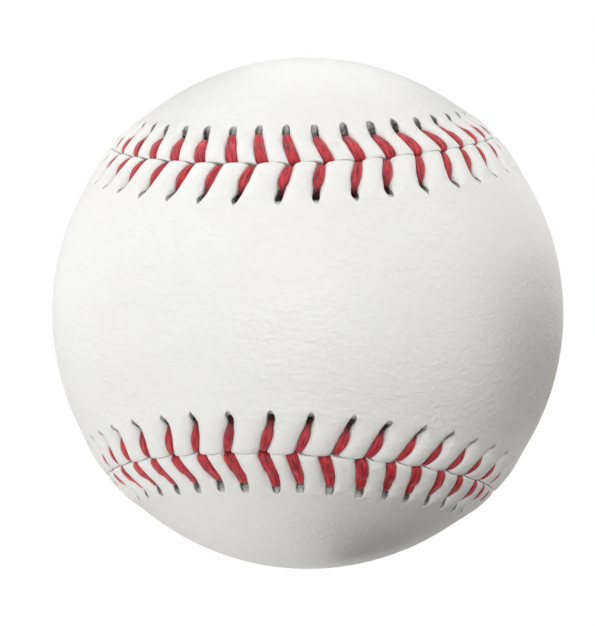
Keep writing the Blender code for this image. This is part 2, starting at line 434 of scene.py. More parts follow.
@dataclass
class CoverPanel:
    """One figure-eight of leather, laced along its edge."""

    name: str
    node: str  # CAD node that it stands for.
    seam: Seam
    row: StitchRow  # The panel's own stitches.
    lip: LipForm  # Section of the leather along the lacing.
    hole: HoleForm  # Outline of the slots and grooves.
    # Rows of the mesh from the lip's foot to the holes.
    band_offsets: tuple[float, ...] = (0.0084, 0.0076, 0.0069, 0.0064, 0.006, 0.0057, 0.0055)
    # Rows through the holes, as shares of a hole's length.
    hole_shares: tuple[float, ...] = (1.0, 0.98, 0.94, 0.86, 0.74, 0.57, 0.38, 0.18, 0.0)
    stitch_rows: int = 6  # Number of rows under the stitches, from the holes to the rounded edge.
    hole_margin: float = 0.0003  # From a hole's near end to the first of those rows.
    edge_start: float = 0.0013  # From the seam to the last of them.
    # Rows round the leather's edge, in degrees.
    edge_turns: tuple[float, ...] = (0, 20, 38, 54, 68, 80, 90)
    lining_start: float = 0.0014  # From the seam to the lining's first row.
    # Last rows of the lining, as shares of the way to the spine.
    lining_shares: tuple[float, ...] = (0.25, 0.6, 1.0)
    field_rows: int = 14  # Number of rows from the lip's foot to the spine.
    # Columns from a groove's middle, at -1, to its wall, at 0.
    groove_shares: tuple[float, ...] = (-1.0, -0.4, 0.0)
    # Columns from a groove's wall to the middle of a pillow.
    pillow_shares: tuple[float, ...] = (0.03, 0.1, 0.24, 0.45, 0.7, 1.0)
    wall_columns: int = 2  # Of these, the ones that the lining gathers at the wall.
    field_step: int = 4  # Columns of the band for each column of the field.
    spine_end: float = math.radians(105)  # From the panel's waist to the middle of its round end.
    spine_spread: float = 1.15  # How soon the columns gather at that middle.
    sharp_angle: float = math.radians(75)  # Edges bent more than this stay sharp.
    flat: Pair = (0.071, 0.2)  # Width and length of the leather that the panel is cut from.

    @property
    def half_columns(self) -> int:
        """Columns of the mesh from a stitch's middle to the next pillow's middle."""
        return len(self.groove_shares) - 1 + len(self.pillow_shares)

    @property
    def columns(self) -> int:
        """Columns of the mesh round the whole panel."""
        return 2 * self.half_columns * self.seam.stitches

    def column_steps(self) -> tuple[Array, Array]:
        """Number of each column's stitch, and the column's steps from that stitch's middle."""
        index, step = np.divmod(np.arange(self.columns + 1), 2 * self.half_columns)
        return index, step - self.half_columns

    def rows(self) -> list[PanelRow]:
        """Section from the outer spine, round the leather's edge, to the inner spine.

        Returns:
            The rows of the mesh.
        """
        shares = np.linspace(1, 0, self.field_rows, endpoint=False)
        made = [PanelRow(RowKind.FIELD, share=float(share)) for share in shares]
        through = self.hole.rows(self.hole_shares)
        under = np.linspace(self.hole.start - self.hole_margin, self.edge_start, self.stitch_rows)
        outer = [*self.band_offsets, *through, *under.tolist()]
        made += [PanelRow(RowKind.BAND, offset=offset) for offset in outer]
        made += [PanelRow(RowKind.EDGE, turn=math.radians(turn)) for turn in self.edge_turns]
        heights = (self.lip.wall, self.lip.lining)
        made += [PanelRow(RowKind.WALL, height=height) for height in heights]
        inner = [self.hole.inner_offset(offset) for offset in through[::-1]]
        lining = [self.lining_start, *inner, self.band_offsets[0]]
        made += [PanelRow(RowKind.LINING, offset=offset) for offset in lining]
        made += [PanelRow(RowKind.LINING_FIELD, share=share) for share in self.lining_shares]
        return made

    def column_places(self, offset: Array, merged: bool) -> tuple[Array, Array]:
        """Where each column crosses a row along the lacing.

        Args:
            offset: Distance of the row from the seam, for each column.
            merged: Whether the columns of a pillow gather at the wall and at its middle.

        Returns:
            Distances along the seam, and shares of the way up the pillow, negative in the groove.
        """
        index, step = self.column_steps()
        line = self.row.line(index, offset)
        beside = self.row.line(index + np.where(step < 0, -1, 1), offset)
        own = np.mod(index, self.seam.stitches)
        half_width = self.hole.half_width(offset) * self.row.widths[own]
        room = np.abs(beside - line) / 2 - half_width
        pillow = np.array(self.pillow_shares)
        if merged:
            pillow = (np.arange(len(pillow)) >= self.wall_columns).astype(float)
        share = np.concatenate([self.groove_shares, pillow])[np.abs(step)]
        away = np.where(share < 0, half_width * (1 + share), half_width + share * room)
        return line + np.sign(step) * away, share

    def column_reaches(self) -> Array:
        """How far each column's rows are spread from the seam, as its stitch's hole is.

        Returns:
            Shares round 1, for each column.
        """
        index, step = self.column_steps()
        half = self.half_columns
        near = np.clip((half - np.abs(step)) / (half - len(self.groove_shares)), 0, 1)
        return 1 + (self.row.reaches[np.mod(index, self.seam.stitches)] - 1) * near

    def band_row(self, row: PanelRow) -> tuple[Array, Array]:
        """Points of one row along the lacing, and each one's painted shade.

        Args:
            row: The row, of the band, the edge, the wall or the lining.

        Returns:
            Points, and painted shade from 0 in the open to 1 deep in a crevice.
        """
        lip = self.lip
        offset = row.offset * self.column_reaches()
        is_lining = row.kind is RowKind.LINING
        distance, share = self.column_places(offset, is_lining)
        rise = lip.pillow(share)
        drop = np.zeros_like(rise)
        if row.kind in (RowKind.EDGE, RowKind.WALL):
            turn = row.turn if row.kind is RowKind.EDGE else math.pi / 2
            notch = lip.edge_gap + lip.edge_notch * (1 - rise) ** 2
            offset = notch + lip.edge_reach * (1 - math.sin(turn))
            fall = lip.groove_edge_drop + (lip.edge_drop - lip.groove_edge_drop) * rise
            drop += fall * (1 - math.cos(turn))
            distance, _ = self.column_places(offset, False)
        index, step = self.column_steps()
        pillow = np.mod(index + (step >= 0), self.seam.stitches)
        gain = 1 + (self.row.crests[pillow] - 1) * rise
        depth = lip.groove_depth(offset)
        height = lip.crest_height(offset) * gain - depth * (1 - rise) - drop
        # Painted shade: in the groove, at the foot of the rounded edge, and full in the wall and
        # lining.
        crevice = lip.groove_shade * (1 - rise) ** 2 * depth / lip.pinch
        crevice += lip.edge_shade * (drop / lip.edge_drop) ** 4
        if row.kind is RowKind.WALL:
            height = np.minimum(height, row.height)
            crevice = np.ones_like(rise)
        if is_lining:
            height = np.full_like(rise, lip.lining)
            crevice = np.ones_like(rise)
        points = self.seam.place(distance, self.row.side.value * offset, height)
        return points, np.clip(crevice, 0, 1)

    def spine(self, station: Array) -> Array:
        """Directions of the panel's middle line.

        Args:
            station: Columns counted from a round end.

        Returns:
            Unit vectors from the ball's centre.
        """
        share = self.spine_spread * np.cos(2 * math.pi * station / self.columns)
        turn = self.spine_end * np.clip(share, -1, 1)
        zero = np.zeros_like(turn)
        if self.row.side is Side.FRONT:
            return np.stack([np.sin(turn), -np.cos(turn), zero], axis=-1)
        return np.stack([zero, np.cos(turn), np.sin(turn)], axis=-1)

    def field_row(self, row: PanelRow, foot: Array) -> Array:
        """Points of one row of the open leather, which the two sides of the spine share there.

        Args:
            row: The row, of the field or its lining.
            foot: Directions of the lip's foot, for each column.

        Returns:
            The row's points.
        """
        first = self.half_columns
        if self.row.side is Side.FRONT:
            first += self.columns // 4
        around = np.mod(np.arange(self.columns + 1) - first, self.columns)
        station = np.minimum(around, self.columns - around)
        station -= station % self.field_step
        column = np.where(around <= self.columns / 2, station, self.columns - station) + first
        start = foot[np.mod(column, self.columns)]
        toward = unit(start * (1 - row.share) + self.spine(station) * row.share)
        lining = self.lip.field_lining if row.kind is RowKind.LINING_FIELD else 0
        return toward * (self.seam.radius + lining)

    def build(self) -> Piece:
        """Wraps a grid over the panel's edge, closes it along its spine and punches its holes.

        Returns:
            The panel, as a closed sheet with a hole for every stitch.
        """
        rows = self.rows()
        foot_row = PanelRow(RowKind.BAND, offset=self.band_offsets[0])
        foot = unit(self.band_row(foot_row)[0])
        points, painted_shades = [], []
        for row in rows:
            if row.kind in (RowKind.FIELD, RowKind.LINING_FIELD):
                place = self.field_row(row, foot)
                crevice = np.full(self.columns + 1, float(row.kind is RowKind.LINING_FIELD))
            else:
                place, crevice = self.band_row(row)
            points.append(place)
            painted_shades.append(crevice)
        bm = bmesh.new()
        # Each corner's painted shade, deeper in the seam, the grooves and the holes.
        painted_shade_layer = bm.verts.layers.float.new("crevice")
        column_layer = bm.verts.layers.int.new("column")
        level_layer = bm.verts.layers.int.new("level")
        bmesh.ops.create_grid(bm, x_segments=self.columns, y_segments=len(rows) - 1, size=1)
        for corner in bm.verts:
            column = round((corner.co.x + 1) / 2 * self.columns)
            level = round((corner.co.y + 1) / 2 * (len(rows) - 1))
            corner[column_layer], corner[level_layer] = column, level
            corner[painted_shade_layer] = painted_shades[level][column]
            corner.co = points[level][column]
        self.punch_holes(bm, points)
        bmesh.ops.remove_doubles(bm, verts=bm.verts, dist=MERGE_DISTANCE)
        bmesh.ops.recalc_face_normals(bm, faces=bm.faces)
        for layer in ("column", "level"):
            bm.verts.layers.int.remove(bm.verts.layers.int[layer])
        return link_piece(self.name, bm, self.sharp_angle)

    def punch_holes(self, bm: Mesh, points: list[Array]) -> None:
        """Takes out the faces that fill the holes, and walls each hole through the leather.

        Args:
            bm: The wrapped grid, whose corners know their column and level.
            points: Places of the grid's corners, by level and column.
        """
        column_layer = bm.verts.layers.int["column"]
        level_layer = bm.verts.layers.int["level"]
        painted_shade_layer = bm.verts.layers.float["crevice"]
        length = len(self.hole_shares) - 1
        outer_first = self.field_rows + len(self.band_offsets)
        outer_last = outer_first + length
        inner_last = len(points) - len(self.lining_shares) - 2
        inner_first = inner_last - length
        period, half = 2 * self.half_columns, self.half_columns
        doomed, rims = [], set()
        for face in bm.faces:
            level = min(corner[level_layer] for corner in face.verts)
            is_outer = outer_first <= level < outer_last
            if not is_outer and not inner_first <= level < inner_last:
                continue
            steps = [abs(corner[column_layer] % period - half) for corner in face.verts]
            if max(steps) < len(self.groove_shares):
                doomed.append(face)
                rims.update(face.verts if is_outer else ())
        bmesh.ops.delete(bm, geom=doomed, context="FACES")
        rim = {corner for corner in rims if corner.is_valid}
        edges = [edge for edge in bm.edges if edge.is_boundary and rim.issuperset(edge.verts)]
        for inward, deep, pale, dark in self.hole.wall_rings():
            made = bmesh.ops.extrude_edge_only(bm, edges=edges)["geom"]
            edges = [part for part in made if isinstance(part, bmesh.types.BMEdge)]
            for corner in made:
                if not isinstance(corner, bmesh.types.BMVert):
                    continue
                column, level = corner[column_layer], corner[level_layer]
                outer = Vector(points[level][column])
                inner = Vector(points[inner_last - (level - outer_first)][column])
                reach = outer.length + (inner.length - outer.length) * deep
                corner.co = outer.lerp(inner, inward).normalized() * reach
                # Painted shade on the wall, pale at the slot's far end and dark by the stitch.
                near = ((level - outer_first) / length) ** self.hole.shade_power
                corner[painted_shade_layer] = pale + (dark - pale) * near

    def dress(self, material: Material) -> None:
        """Builds the panel, gives it its leather and puts it in its node's place.

        Args:
            material: The leather.
        """
        panel = self.build()
        seat_piece(panel, material, self.node)


@dataclass(frozen=True)
class RoutePoint:
    """One point of a stitch's route through the leather."""

    offset: float  # Distance from the seam into the stitch's own panel.
    height: float  # Height over the groove's floor in the groove, else over the ball.
    half_width: float
    half_thickness: float
    in_groove: bool = False  # Whether the thread lies in its groove there.


@dataclass
class LaceStrand:
    """One of the two strands: up a hole, over the lip, down the seam and under the other panel."""

    name: str
    node: str  # CAD node that it stands for.
    seam: Seam
    panels: dict[Side, CoverPanel]
    first: Side  # The panel of its first stitch.
    half_thickness: float = 0.0003  # Half of the thread's thickness in the groove.
    fill: float = 1.03  # Width of the thread, as a share of its groove's.
    narrow: float = 0.0003  # Half of the thread's width under the leather.
    thin: float = 0.00018  # Half of the thread's thickness there.
    under_height: float = -0.00155  # Height of the thread there, over the ball.
    # Where the route is held there, as shares of the way to the next hole.
    under_shares: tuple[float, ...] = (0.35, 0.7)
    under_reach: float = 0.0007  # From a hole's near end to where the thread meets it from below.
    exit_start: float = 0.0022  # From the seam to where stitches differ in how far out they reach.
    cut_start: float = 0.0006  # Nearer the seam than this, the sections lie along the seam.
    cut_run: float = 0.0014  # Beyond that, how soon they stand square to the thread.
    shade_height: float = -0.0002  # Height over the ball below which painted shade starts.
    shade_run: float = 0.0007  # Below that, how soon the painted shade is wholly dark.
    section_powers: Pair = (0.9, 0.65)  # How square the section is, across and through the thread.
    sides: int = 16  # Corners of the thread's section.
    fine: int = 2  # Rings of the mesh for each point of the route.
    sharp_angle: float = math.radians(80)  # Edges bent more than this stay sharp.

    def stitch_points(self, side: Side) -> list[RoutePoint]:
        """Route of one stitch, from inside its hole to deep in the seam.

        Args:
            side: The panel of the stitch.

        Returns:
            The points of the route.
        """
        hole, thick = self.panels[side].hole, self.half_thickness
        wide, at_seam = hole.groove_half * self.fill, hole.seam_half
        points = [
            RoutePoint(hole.start + self.under_reach, self.under_height, self.narrow, self.thin),
            RoutePoint(hole.start + 0.0006, -0.00135, self.narrow, 0.0002),
            RoutePoint(hole.start + 0.0005, -0.00115, self.narrow, 0.00022),
            RoutePoint(hole.start + 0.00036, -0.00085, 0.00031, 0.00024),
            RoutePoint(hole.start + 0.00012, -0.0006, wide * 0.52, 0.00026),
            RoutePoint(hole.start - 0.0002, thick * 0.9, wide * 0.76, thick, True),
        ]
        middle = (hole.start + 0.0018) / 2
        for offset, share in ((middle, 0.95), (0.0021, 1.0), (0.00178, 1.0), (0.00145, 0.97)):
            points.append(RoutePoint(offset, thick, wide * share, thick, True))
        points += [
            RoutePoint(0.0011, 0.00028, (2 * wide + at_seam) / 3, thick, True),
            RoutePoint(0.00075, 0.00022, (wide + 2 * at_seam) / 3, thick, True),
            RoutePoint(0.0005, -0.00025, at_seam, 0.00027),
            RoutePoint(0.0003, -0.00055, at_seam * 0.95, 0.00024),
            RoutePoint(0.00018, -0.00095, at_seam * 0.8, 0.0002),
            RoutePoint(0.0, -0.0014, self.narrow, self.thin),
        ]
        return points

    def route(self) -> Array:
        """Control values of the whole strand.

        Returns:
            Rows of distance, offset, height, half width and half thickness.
        """
        values: list[tuple[float, float, float, float, float]] = []
        for index in range(self.seam.stitches):
            side = self.first if index % 2 == 0 else self.first.other
            row, lip = self.panels[side].row, self.panels[side].lip
            for point in self.stitch_points(side):
                spread = max(point.offset - self.exit_start, 0) * (row.exits[index] - 1)
                out = (point.offset + spread) * row.reaches[index]
                distance, height, width = row.line(index, out), point.height, point.half_width
                if point.in_groove:
                    height += lip.floor_height(out)
                    width *= row.widths[index]
                values.append((distance, side.value * out, height, width, point.half_thickness))
            start = values[-1][0]
            beyond = self.panels[side.other]
            far = beyond.hole.start + self.under_reach
            ahead = beyond.row.line(index + 1, far)
            for share in self.under_shares:
                distance = start + (ahead - start) * share
                offset = -side.value * far * share
                values.append((distance, offset, self.under_height, self.narrow, self.thin))
        return np.array(values)

    def smoothed(self, values: Array) -> Array:
        """Rounds the route with a curve through all of its points.

        Args:
            values: Control values, one row a point.

        Returns:
            More rows, evenly spread between the points.
        """
        padded = np.concatenate([values[:1], values, values[-1:]])
        before, start, end, after = padded[:-3], padded[1:-2], padded[2:-1], padded[3:]
        made = []
        for step in range(self.fine):
            share = step / self.fine
            bend = 2 * start + (end - before) * share
            bend += (2 * before - 5 * start + 4 * end - after) * share**2
            bend += (3 * start - before - 3 * end + after) * share**3
            made.append(bend / 2)
        rows = np.stack(made, axis=1).reshape(-1, values.shape[1])
        return np.concatenate([rows, values[-1:]])

    def build(self) -> Piece:
        """Rolls a grid into a flat thread along the route.

        Returns:
            The strand, as one unbroken closed tube.
        """
        values = self.smoothed(self.route())
        distance, offset, height, half_width, half_thickness = values.T
        centre = self.seam.place(distance, offset, height)
        forward = unit(np.gradient(centre, axis=0))
        along = self.seam.axes(distance)[1]
        square = smooth_step((np.abs(offset) - self.cut_start) / self.cut_run)[:, None]
        width = unit(along - square * forward * np.sum(along * forward, axis=1, keepdims=True))
        thick = unit(np.cross(width, forward))
        # Painted shade on the thread where it dives into its hole.
        deep = np.clip((self.shade_height - height) / self.shade_run, 0, 1)
        bm = bmesh.new()
        painted_shade_layer = bm.verts.layers.float.new("crevice")
        bm.loops.layers.uv.new("thread")
        rings = len(values) - 1
        bmesh.ops.create_grid(bm, x_segments=rings, y_segments=self.sides, size=1, calc_uvs=True)
        across_power, through_power = self.section_powers
        for corner in bm.verts:
            ring = round((corner.co.x + 1) / 2 * rings)
            turn = math.pi * (corner.co.y + 1)
            across = signed_power(math.cos(turn), across_power) * half_width[ring]
            lift = signed_power(math.sin(turn), through_power) * half_thickness[ring]
            corner.co = centre[ring] + width[ring] * across + thick[ring] * lift
            corner[painted_shade_layer] = deep[ring]
        bmesh.ops.remove_doubles(bm, verts=bm.verts, dist=MERGE_DISTANCE)
        bmesh.ops.holes_fill(bm, edges=[edge for edge in bm.edges if edge.is_boundary], sides=0)
        bmesh.ops.recalc_face_normals(bm, faces=bm.faces)
        return link_piece(self.name, bm, self.sharp_angle)

    def dress(self, material: Material) -> None:
        """Builds the strand, gives it its thread and puts it in its node's place."""
        seat_piece(self.build(), material, self.node)


class NodeBench:
    """Adds and joins the nodes of one shader tree."""

    def __init__(self, tree: bpy.types.NodeTree) -> None:
        """Takes the tree to work on."""
        self.tree = tree

    def feed(self, node: Node, values: Values) -> None:
        """Links sockets to a node's inputs, and sets plain values on the inputs themselves.

        Args:
            node: The node.
            values: Sockets and values, by the input's name or number.
        """
        for name, value in values.items():
            if isinstance(value, Socket):
                self.tree.links.new(value, node.inputs[name])
            else:
                node.inputs[name].default_value = value

    def add(self, kind: str, values: Values, **settings: object) -> Node:
        """Adds a node.

        Args:
            kind: Blender's name for the node, without its Shader prefix.
            values: Sockets and values for its inputs, by name or number.
            settings: Other properties of the node.

        Returns:
            The node.
        """
        node = self.tree.nodes.new("ShaderNode" + kind)
        for name, value in settings.items():
            setattr(node, name, value)
        self.feed(node, values)
        return node

    def place(self) -> Socket:
        """Object coordinates of the surface."""
        return self.add("TexCoord", {}).outputs["Object"]

    def math(self, operation: str, *values: Socket | float) -> Socket:
        """Result of a calculation."""
        return self.add("Math", dict(enumerate(values)), operation=operation).outputs[0]

    def mix(self, factor: Socket, first: Socket | Colour, second: Socket | Colour) -> Socket:
        """Mix of two colours."""
        ends = [(*end, 1) if isinstance(end, tuple) else end for end in (first, second)]
        return self.add("Mix", {0: factor, 6: ends[0], 7: ends[1]}, data_type="RGBA").outputs[2]

    def remap(self, value: Socket, old: Pair, new: Pair = (0.0, 1.0)) -> Socket:
        """Value carried from one range to another, held at its ends."""
        values = {0: value, 1: old[0], 2: old[1], 3: new[0], 4: new[1]}
        return self.add("MapRange", values).outputs[0]

    def noise(self, vector: Socket, scale: Socket | float, **more: float) -> Socket:
        """Strength of a noise pattern."""
        return self.add("TexNoise", {"Vector": vector, "Scale": scale, **more}).outputs[0]

    def mapped(self, vector: Socket, **change: Triple) -> Socket:
        """Coordinates, turned or stretched."""
        return self.add("Mapping", {"Vector": vector, **change}).outputs[0]

    def bump(self, height: Socket, distance: float, strength: float = 1.0) -> Socket:
        """Normals of a fine relief."""
        values = {"Strength": strength, "Distance": distance, "Height": height}
        return self.add("Bump", values).outputs["Normal"]


class SharedEffects:
    """Shader groups that more than one finish uses.

    Attributes:
        fibre: Fine fibres, as in spun thread.
        crevice: Painted shade deep in the seam and the holes.
    """

    def __init__(self) -> None:
        """Builds each group once."""
        self.fibre = self.spun_fibre()
        self.crevice = self.crevice_shade()

    @staticmethod
    def group(
        name: str, inputs: dict[str, str], outputs: dict[str, str]
    ) -> tuple[NodeBench, dict[str, Socket], Node]:
        """Empty shader group.

        Args:
            name: Name of the group.
            inputs: Kind of each input socket, by its name.
            outputs: Kind of each output socket, by its name.

        Returns:
            A bench for its nodes, the sockets of its inputs by name, and its output node.
        """
        tree = bpy.data.node_groups.new(name, "ShaderNodeTree")
        for in_out, sockets in (("INPUT", inputs), ("OUTPUT", outputs)):
            for label, kind in sockets.items():
                tree.interface.new_socket(label, in_out=in_out, socket_type="NodeSocket" + kind)
        source = tree.nodes.new("NodeGroupInput")
        sink = tree.nodes.new("NodeGroupOutput")
        return NodeBench(tree), {label: source.outputs[label] for label in inputs}, sink

    def spun_fibre(self) -> bpy.types.NodeTree:
        """Fine fibres that run along the first axis of a pattern.

        Returns:
            The group, from a pattern's coordinates to a tone and a height.
        """
        inputs = {"Vector": "Vector", "Fineness": "Float"}
        outputs = {"Tone": "Float", "Height": "Float"}
        bench, source, sink = self.group("spun_fibre", inputs, outputs)
        vector, fineness = source["Vector"], source["Fineness"]
        strand_weight, ply_weight, ply_fineness = 0.45, 0.55, 0.42
        strands = bench.noise(vector, fineness, Detail=3.0, Roughness=0.6)
        plies = bench.noise(vector, bench.math("MULTIPLY", fineness, ply_fineness), Detail=1.0)
        strands = bench.math("MULTIPLY", strands, strand_weight)
        height = bench.math("MULTIPLY_ADD", plies, ply_weight, strands)
        bench.feed(sink, {"Tone": bench.remap(height, (0.36, 0.66)), "Height": height})
        return bench.tree

    def crevice_shade(self) -> bpy.types.NodeTree:
        """Uneven painted shade, by how deep in a crevice a place is.

        Returns:
            The group, from a clean colour and a depth to the colour with painted shade.
        """
        inputs = {"Color": "Color", "Crevice Color": "Color", "Depth": "Float", "Vector": "Vector"}
        bench, source, sink = self.group("crevice_shade", inputs, {"Color": "Color"})
        speckle = bench.noise(source["Vector"], scale=2600.0, Detail=2.0)
        speckle = bench.remap(speckle, (0.3, 0.7), (0.75, 1.15))
        share = bench.remap(bench.math("MULTIPLY", source["Depth"], speckle), (0.18, 1.0))
        bench.feed(sink, {"Color": bench.mix(share, source["Color"], source["Crevice Color"])})
        return bench.tree

    def shaded(self, bench: NodeBench, clean: Socket, shade: Colour) -> Socket:
        """Colour of a piece, with painted shade where its own crevice attribute is high.

        Args:
            bench: Bench of the material.
            clean: The piece's colour in the open.
            shade: Colour of the painted shade deep in a crevice.

        Returns:
            The colour.
        """
        depth = bench.add("Attribute", {}, attribute_name="crevice").outputs["Fac"]
        colours = {"Color": clean, "Crevice Color": (*shade, 1)}
        values = {**colours, "Depth": depth, "Vector": bench.place()}
        return bench.add("Group", values, node_tree=self.crevice).outputs["Color"]


def new_material(name: str) -> tuple[Material, NodeBench, Node]:
    """Starts a material.

    Args:
        name: Name of the material.

    Returns:
        The material, a bench for its nodes and its Principled shader.
    """
    material = bpy.data.materials.new(name)
    material.use_nodes = True
    return material, NodeBench(material.node_tree), material.node_tree.nodes["Principled BSDF"]


@dataclass(frozen=True)
class LeatherFinish:
    """White leather, finely pebbled and wrinkled, with painted shade in wrinkles, seam and holes.
    """

    colour: Colour = (0.845, 0.845, 0.83)  # The leather's own white.
    warm: Colour = (0.82, 0.815, 0.785)  # The white of its slightly yellower patches.
    # In the holes' walls it also stands for the grey of the leather's cut edge.
    crevice: Colour = (0.028, 0.026, 0.025)  # Painted shade deep in the seam and the holes.
    roughness: Pair = (0.35, 0.48)  # Its roughness, from the wrinkles' floors to their crests.
    wrinkle_shade: Pair = (0.982, 1.0)  # Its brightness, likewise, as painted shade.
    grain: float = 0.00012  # Height of the relief, in metres.
    # Weights of the pebbles, the wrinkles and the fine grain in the relief.
    weights: Triple = (0.5, 0.9, 0.25)
    pebbles: float = 1500.0  # Pebbles in a metre.
    wrinkles: Triple = (480.0, 900.0, 1500.0)  # Wrinkles in a metre, along each axis.
    fine: float = 5200.0  # Spots of fine grain in a metre.
    patches: float = 45.0  # Warm and plain patches in a metre.

    def material(self, effects: SharedEffects) -> Material:
        """Builds the leather.

        Args:
            effects: The shared shader groups.

        Returns:
            The material.
        """
        material, bench, shader = new_material("white_leather")
        place = bench.place()
        cells = {"Vector": place, "Scale": self.pebbles, "Smoothness": 0.6}
        pebble = bench.add("TexVoronoi", cells, feature="SMOOTH_F1").outputs["Distance"]
        stretched = bench.mapped(place, Scale=self.wrinkles)
        wrinkle = bench.noise(stretched, scale=1.0, Detail=4.0, Distortion=0.8)
        fine = bench.noise(place, self.fine, Detail=2.0)
        height = 0.0
        for weight, relief in zip(self.weights, (pebble, wrinkle, fine)):
            height = bench.math("MULTIPLY_ADD", relief, weight, height)
        patch = bench.remap(bench.noise(place, self.patches, Detail=3.0), (0.35, 0.7))
        toned = bench.mix(patch, self.colour, self.warm)
        # Painted shade: darker in the wrinkles' floors.
        wrinkle_shaded = bench.remap(wrinkle, (0.36, 0.6), self.wrinkle_shade)
        toned = bench.add("VectorMath", {0: toned, "Scale": wrinkle_shaded}, operation="SCALE").outputs[0]
        values = {
            "Base Color": effects.shaded(bench, toned, self.crevice),
            "Roughness": bench.remap(wrinkle, (0.3, 0.7), self.roughness),
            "Normal": bench.bump(height, self.grain),
            "Specular IOR Level": 0.45,
        }
        bench.feed(shader, values)
        return material


@dataclass(frozen=True)
class ThreadFinish:
    """Crimson waxed lace, flat and finely stranded."""

    light: Colour = (0.8, 0.042, 0.062)  # Raised strands: own tone and painted highlight.
    dark: Colour = (0.14, 0.002, 0.008)  # Between the strands: own tone and painted shade.
    sheen: Colour = (1.0, 0.55, 0.57)  # Colour of its fuzz.
    shade: Colour = (0.03, 0.006, 0.008)  # Colour of the painted shade deep in the holes.
    roughness: float = 0.5
    relief: float = 0.00022  # Height of the strands, in metres.
    streaks: Pair = (9.0, 26.0)  # Fibres along a stitch, and round the thread.

    def material(self, effects: SharedEffects, stitches: int) -> Material:
        """Builds the thread.

        Args:
            effects: The shared shader groups.
            stitches: Stitches along a strand, which set the length of its fibres.

        Returns:
            The material.
        """
        material, bench, shader = new_material("red_thread")
        own = bench.add("UVMap", {}, uv_map="thread").outputs[0]
        along, around = self.streaks
        laid = bench.mapped(own, Scale=(stitches * along, around, 1.0))
        fibre = bench.add("Group", {"Vector": laid, "Fineness": 1.0}, node_tree=effects.fibre)
        # Partly the strands' own tone, partly painted highlight on them and painted shade between.
        toned = bench.mix(fibre.outputs["Tone"], self.dark, self.light)
        values = {
            "Base Color": effects.shaded(bench, toned, self.shade),
            "Normal": bench.bump(fibre.outputs["Height"], self.relief),
            "Roughness": self.roughness,
            "Specular IOR Level": 0.5,
            "Sheen Weight": 0.45,
            "Sheen Roughness": 0.4,
            "Sheen Tint": (*self.sheen, 1),
        }
        bench.feed(shader, values)
        return material


@dataclass(frozen=True)
class YarnFinish:
    """Wound yarn of the core."""

    name: str
    light: Colour  # Colour of the yarn on top of the turns.
    dark: Colour  # Colour between the turns, as painted shade.
    turns: float  # Turns of yarn in a metre of the winding.
    lay: Triple  # How the turns lie, as angles about the axes.
    fineness: float = 900.0  # Fibres in a metre of the winding.
    relief: float = 0.0004  # Height of the turns, in metres.
    fuzz: float = 0.3  # Weight of the fibres in that relief.

    def material(self, effects: SharedEffects) -> Material:
        """Builds the yarn.

        Args:
            effects: The shared shader groups.

        Returns:
            The material.
        """
        material, bench, shader = new_material(self.name)
        laid = bench.mapped(bench.place(), Rotation=self.lay)
        waves = {"Vector": laid, "Scale": self.turns, "Distortion": 1.2, "Detail": 2.0}
        turns = bench.add("TexWave", waves, bands_direction="Z").outputs["Fac"]
        stretched = bench.mapped(laid, Scale=(1.0, 1.0, 6.0))
        pattern = {"Vector": stretched, "Fineness": self.fineness}
        fibre = bench.add("Group", pattern, node_tree=effects.fibre).outputs
        # Darker between the turns: painted shade in the hollows.
        tone = bench.math("MULTIPLY", turns, bench.remap(fibre["Tone"], (0.0, 1.0), (0.6, 1.0)))
        height = bench.math("MULTIPLY_ADD", fibre["Height"], self.fuzz, turns)
        values = {
            "Base Color": bench.mix(tone, self.dark, self.light),
            "Normal": bench.bump(height, self.relief, strength=0.9),
            "Roughness": 0.9,
            "Sheen Weight": 0.3,
        }
        bench.feed(shader, values)
        return material


@dataclass(frozen=True)
class SpongeFinish:
    """Dark sponge rubber of the pill."""

    skin: Colour = (0.17, 0.17, 0.18)  # Colour of the cell walls.
    cell: Colour = (0.04, 0.04, 0.045)  # Colour inside the cells, as painted shade.
    cells: float = 900.0  # Cells in a metre.
    relief: float = 0.0005  # Height of the cell walls, in metres.

    def material(self) -> Material:
        """Builds the sponge.

        Returns:
            The material.
        """
        material, bench, shader = new_material("sponge_rubber")
        cells = {"Vector": bench.place(), "Scale": self.cells}
        edges = bench.add("TexVoronoi", cells, feature="DISTANCE_TO_EDGE")
        wall = bench.remap(edges.outputs["Distance"], (0.02, 0.3), (1.0, 0.0))
        values = {
            # Darker inside the cells: painted shade in the hollows.
            "Base Color": bench.mix(wall, self.cell, self.skin),
            "Normal": bench.bump(wall, self.relief, strength=0.8),
            "Roughness": 0.92,
        }
        bench.feed(shader, values)
        return material


GREY_YARN = YarnFinish(
    "wound_grey_yarn", (0.36, 0.39, 0.44), (0.16, 0.17, 0.2), turns=260.0, lay=(0.5, 0.3, 0.0)
)
PALE_YARN = YarnFinish(
    "wound_pale_yarn", (0.74, 0.7, 0.62), (0.42, 0.39, 0.34), turns=260.0, lay=(-0.6, 0.9, 0.2)
)
COTTON = YarnFinish(
    "cotton_thread", (0.88, 0.86, 0.8), (0.6, 0.57, 0.5), turns=520.0, lay=(1.0, 0.2, 0.4)
)


@dataclass
class WoundCore:
    """The sponge pill and the three windings round it, which the cover hides."""

    nodes: dict[str, Piece]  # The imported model's nodes.

    def dress(self, effects: SharedEffects) -> None:
        """Gives each CAD node of the core its own finish.

        Args:
            effects: The shared shader groups.
        """
        finishes = {
            "sponge_pill": SpongeFinish().material(),
            "inner_winding": GREY_YARN.material(effects),
            "outer_winding": PALE_YARN.material(effects),
            "finishing_winding": COTTON.material(effects),
        }
        for name, material in finishes.items():
            node = self.nodes[name]
            node.data.materials.clear()
            node.data.materials.append(material)
            LOG.info("%s: dressed in %s", name, material.name)


